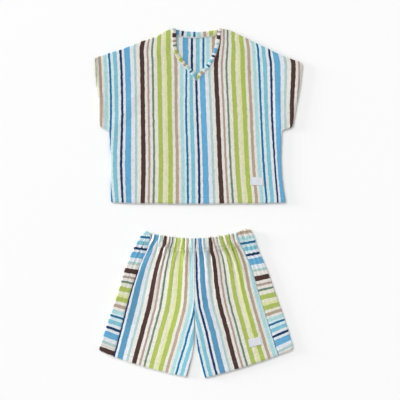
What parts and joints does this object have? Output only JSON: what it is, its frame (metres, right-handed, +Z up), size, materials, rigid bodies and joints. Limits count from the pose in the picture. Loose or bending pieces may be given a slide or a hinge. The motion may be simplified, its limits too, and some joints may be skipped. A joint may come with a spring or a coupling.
{
  "type": "towelling top and shorts set",
  "caption": "Striped towelling set laid flat: V-neck top with short sleeves cut in one with the body, and shorts with a gathered waist and side strips",
  "frame": {"origin": "middle of the layout's outline, on the surface that the set lies on", "axes": "+X is right as seen from above with the neck at the top, +Y is from the shorts towards the top's neck, +Z is up from the surface"},
  "size_m": [0.624, 1.051, 0.0106],
  "materials": {
    "towelling": "looped towelling with woven stripes, matte",
    "binding": "the same towelling cut as a narrow strip, matte",
    "woven_label": "close white weave, bare"
  },
  "bodies": {
    "root": {"top_front": "towelling", "top_back": "towelling", "neck_binding_front_left": "binding", "neck_binding_front_right": "binding", "neck_binding_back": "binding", "top_label": "woven_label", "shorts_front_left": "towelling", "shorts_front_right": "towelling", "shorts_back_left": "towelling", "shorts_back_right": "towelling", "shorts_side_left": "towelling", "shorts_side_right": "towelling", "shorts_label": "woven_label"}
  },
  "joints": []
}
